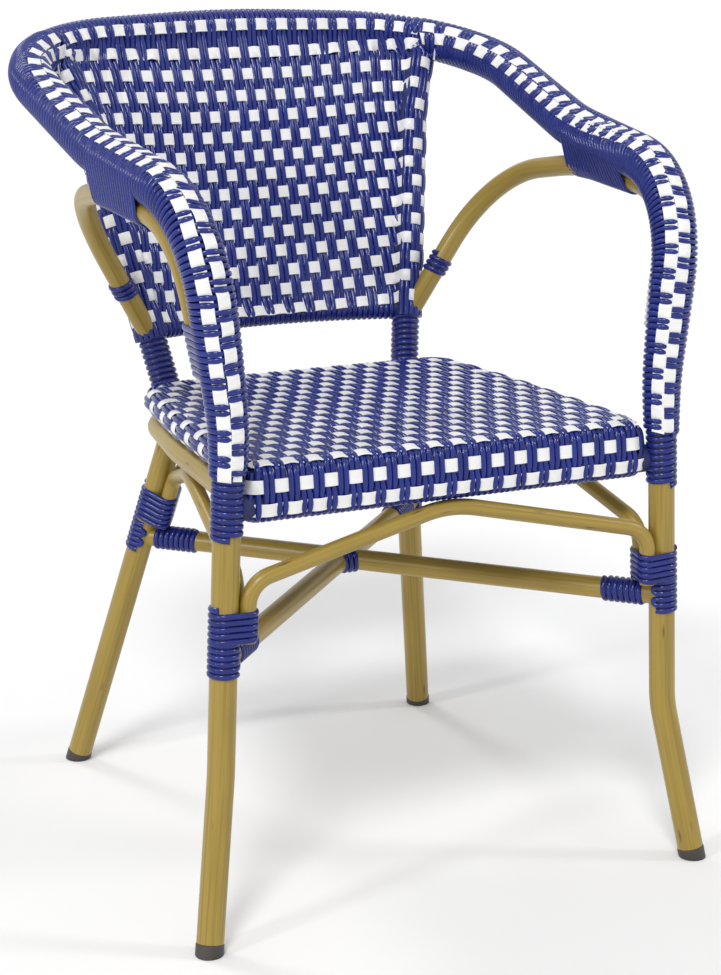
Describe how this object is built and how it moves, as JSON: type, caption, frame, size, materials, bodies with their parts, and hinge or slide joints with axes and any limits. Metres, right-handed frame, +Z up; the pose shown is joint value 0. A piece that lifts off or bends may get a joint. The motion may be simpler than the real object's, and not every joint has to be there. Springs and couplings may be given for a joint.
{
  "type": "woven bistro armchair",
  "caption": "Stackable-style bistro armchair: bent bamboo-look tube frame with crossed stretchers, arched braces, bound joints, and a two-colour woven seat, back and arm sleeves.",
  "frame": {"origin": "middle of the footprint on the floor", "axes": "+Z up, the sitter faces -Y, +X is the right arm as seen from the front"},
  "size_m": [0.592, 0.6206, 0.8341],
  "materials": {
    "bamboo_tube": "satin bamboo-look paint, olive yellow with darker lengthwise streaks and joint marks",
    "bare_tube": "bare tube, hidden inside the weave",
    "woven_strand": "glossy half-round blue strand in pairs with flat white strand checkered across it",
    "binding_strand": "glossy half-round blue strand",
    "foot_cap": "dark grey moulded plastic"
  },
  "bodies": {
    "root": {"front_leg_arm_hoop": "bamboo_tube", "right_rear_leg_stile": "bamboo_tube", "left_rear_leg_stile": "bamboo_tube", "front_seat_rail": "bare_tube", "seat_support_rail": "bamboo_tube", "seat_frame_ring": "bare_tube", "lower_back_rail": "bare_tube", "right_arm_arch": "bamboo_tube", "left_arm_arch": "bamboo_tube", "cross_brace_through": "bamboo_tube", "cross_brace_front_half": "bamboo_tube", "cross_brace_rear_half": "bamboo_tube", "front_arched_brace": "bamboo_tube", "rear_arched_brace": "bamboo_tube", "right_arched_brace": "bamboo_tube", "left_arched_brace": "bamboo_tube", "right_front_foot_cap": "foot_cap", "left_front_foot_cap": "foot_cap", "right_rear_foot_cap": "foot_cap", "left_rear_foot_cap": "foot_cap", "woven_seat": "woven_strand", "woven_back": "woven_strand", "right_arm_sleeve": "woven_strand", "left_arm_sleeve": "woven_strand", "right_front_joint_binding": "binding_strand", "left_front_joint_binding": "binding_strand", "right_rear_joint_binding": "binding_strand", "left_rear_joint_binding": "binding_strand", "right_front_stretcher_binding": "binding_strand", "left_front_stretcher_binding": "binding_strand", "right_rear_stretcher_binding": "binding_strand", "left_rear_stretcher_binding": "binding_strand", "right_front_collar": "binding_strand", "left_front_collar": "binding_strand", "right_rear_collar": "binding_strand", "left_rear_collar": "binding_strand", "right_seat_binding": "binding_strand", "left_seat_binding": "binding_strand", "right_stile_binding": "binding_strand", "left_stile_binding": "binding_strand", "right_arch_collar": "binding_strand", "left_arch_collar": "binding_strand", "crossing_binding": "binding_strand"}
  },
  "joints": []
}
